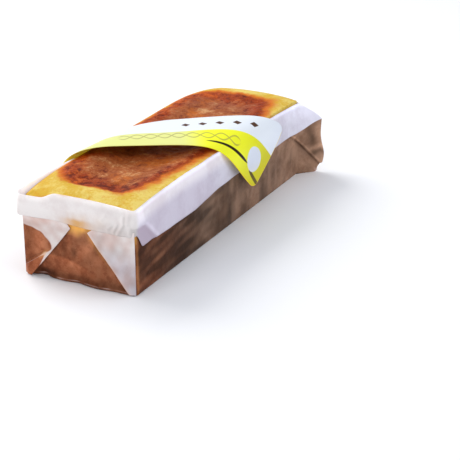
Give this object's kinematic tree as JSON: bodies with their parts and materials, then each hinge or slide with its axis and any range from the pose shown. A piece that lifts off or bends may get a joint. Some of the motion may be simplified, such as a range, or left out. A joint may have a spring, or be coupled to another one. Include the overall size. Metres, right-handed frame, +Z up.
{
  "type": "castella cake",
  "caption": "Long sponge loaf with a browned sunken top, in a folded paper case, with a printed label strip laid slantwise over it.",
  "frame": {"origin": "middle of the footprint's bounding box, on the surface it rests on", "axes": "+X along the loaf from the end with the flat folded ears to the end with the pinched ears, +Y across it, +Z up"},
  "size_m": [0.2768, 0.118, 0.0715],
  "materials": {
    "sponge": null,
    "parchment": null,
    "label_print": null
  },
  "bodies": {
    "root": {"cake": "sponge", "paper_case": "parchment", "label": "label_print"}
  },
  "joints": []
}
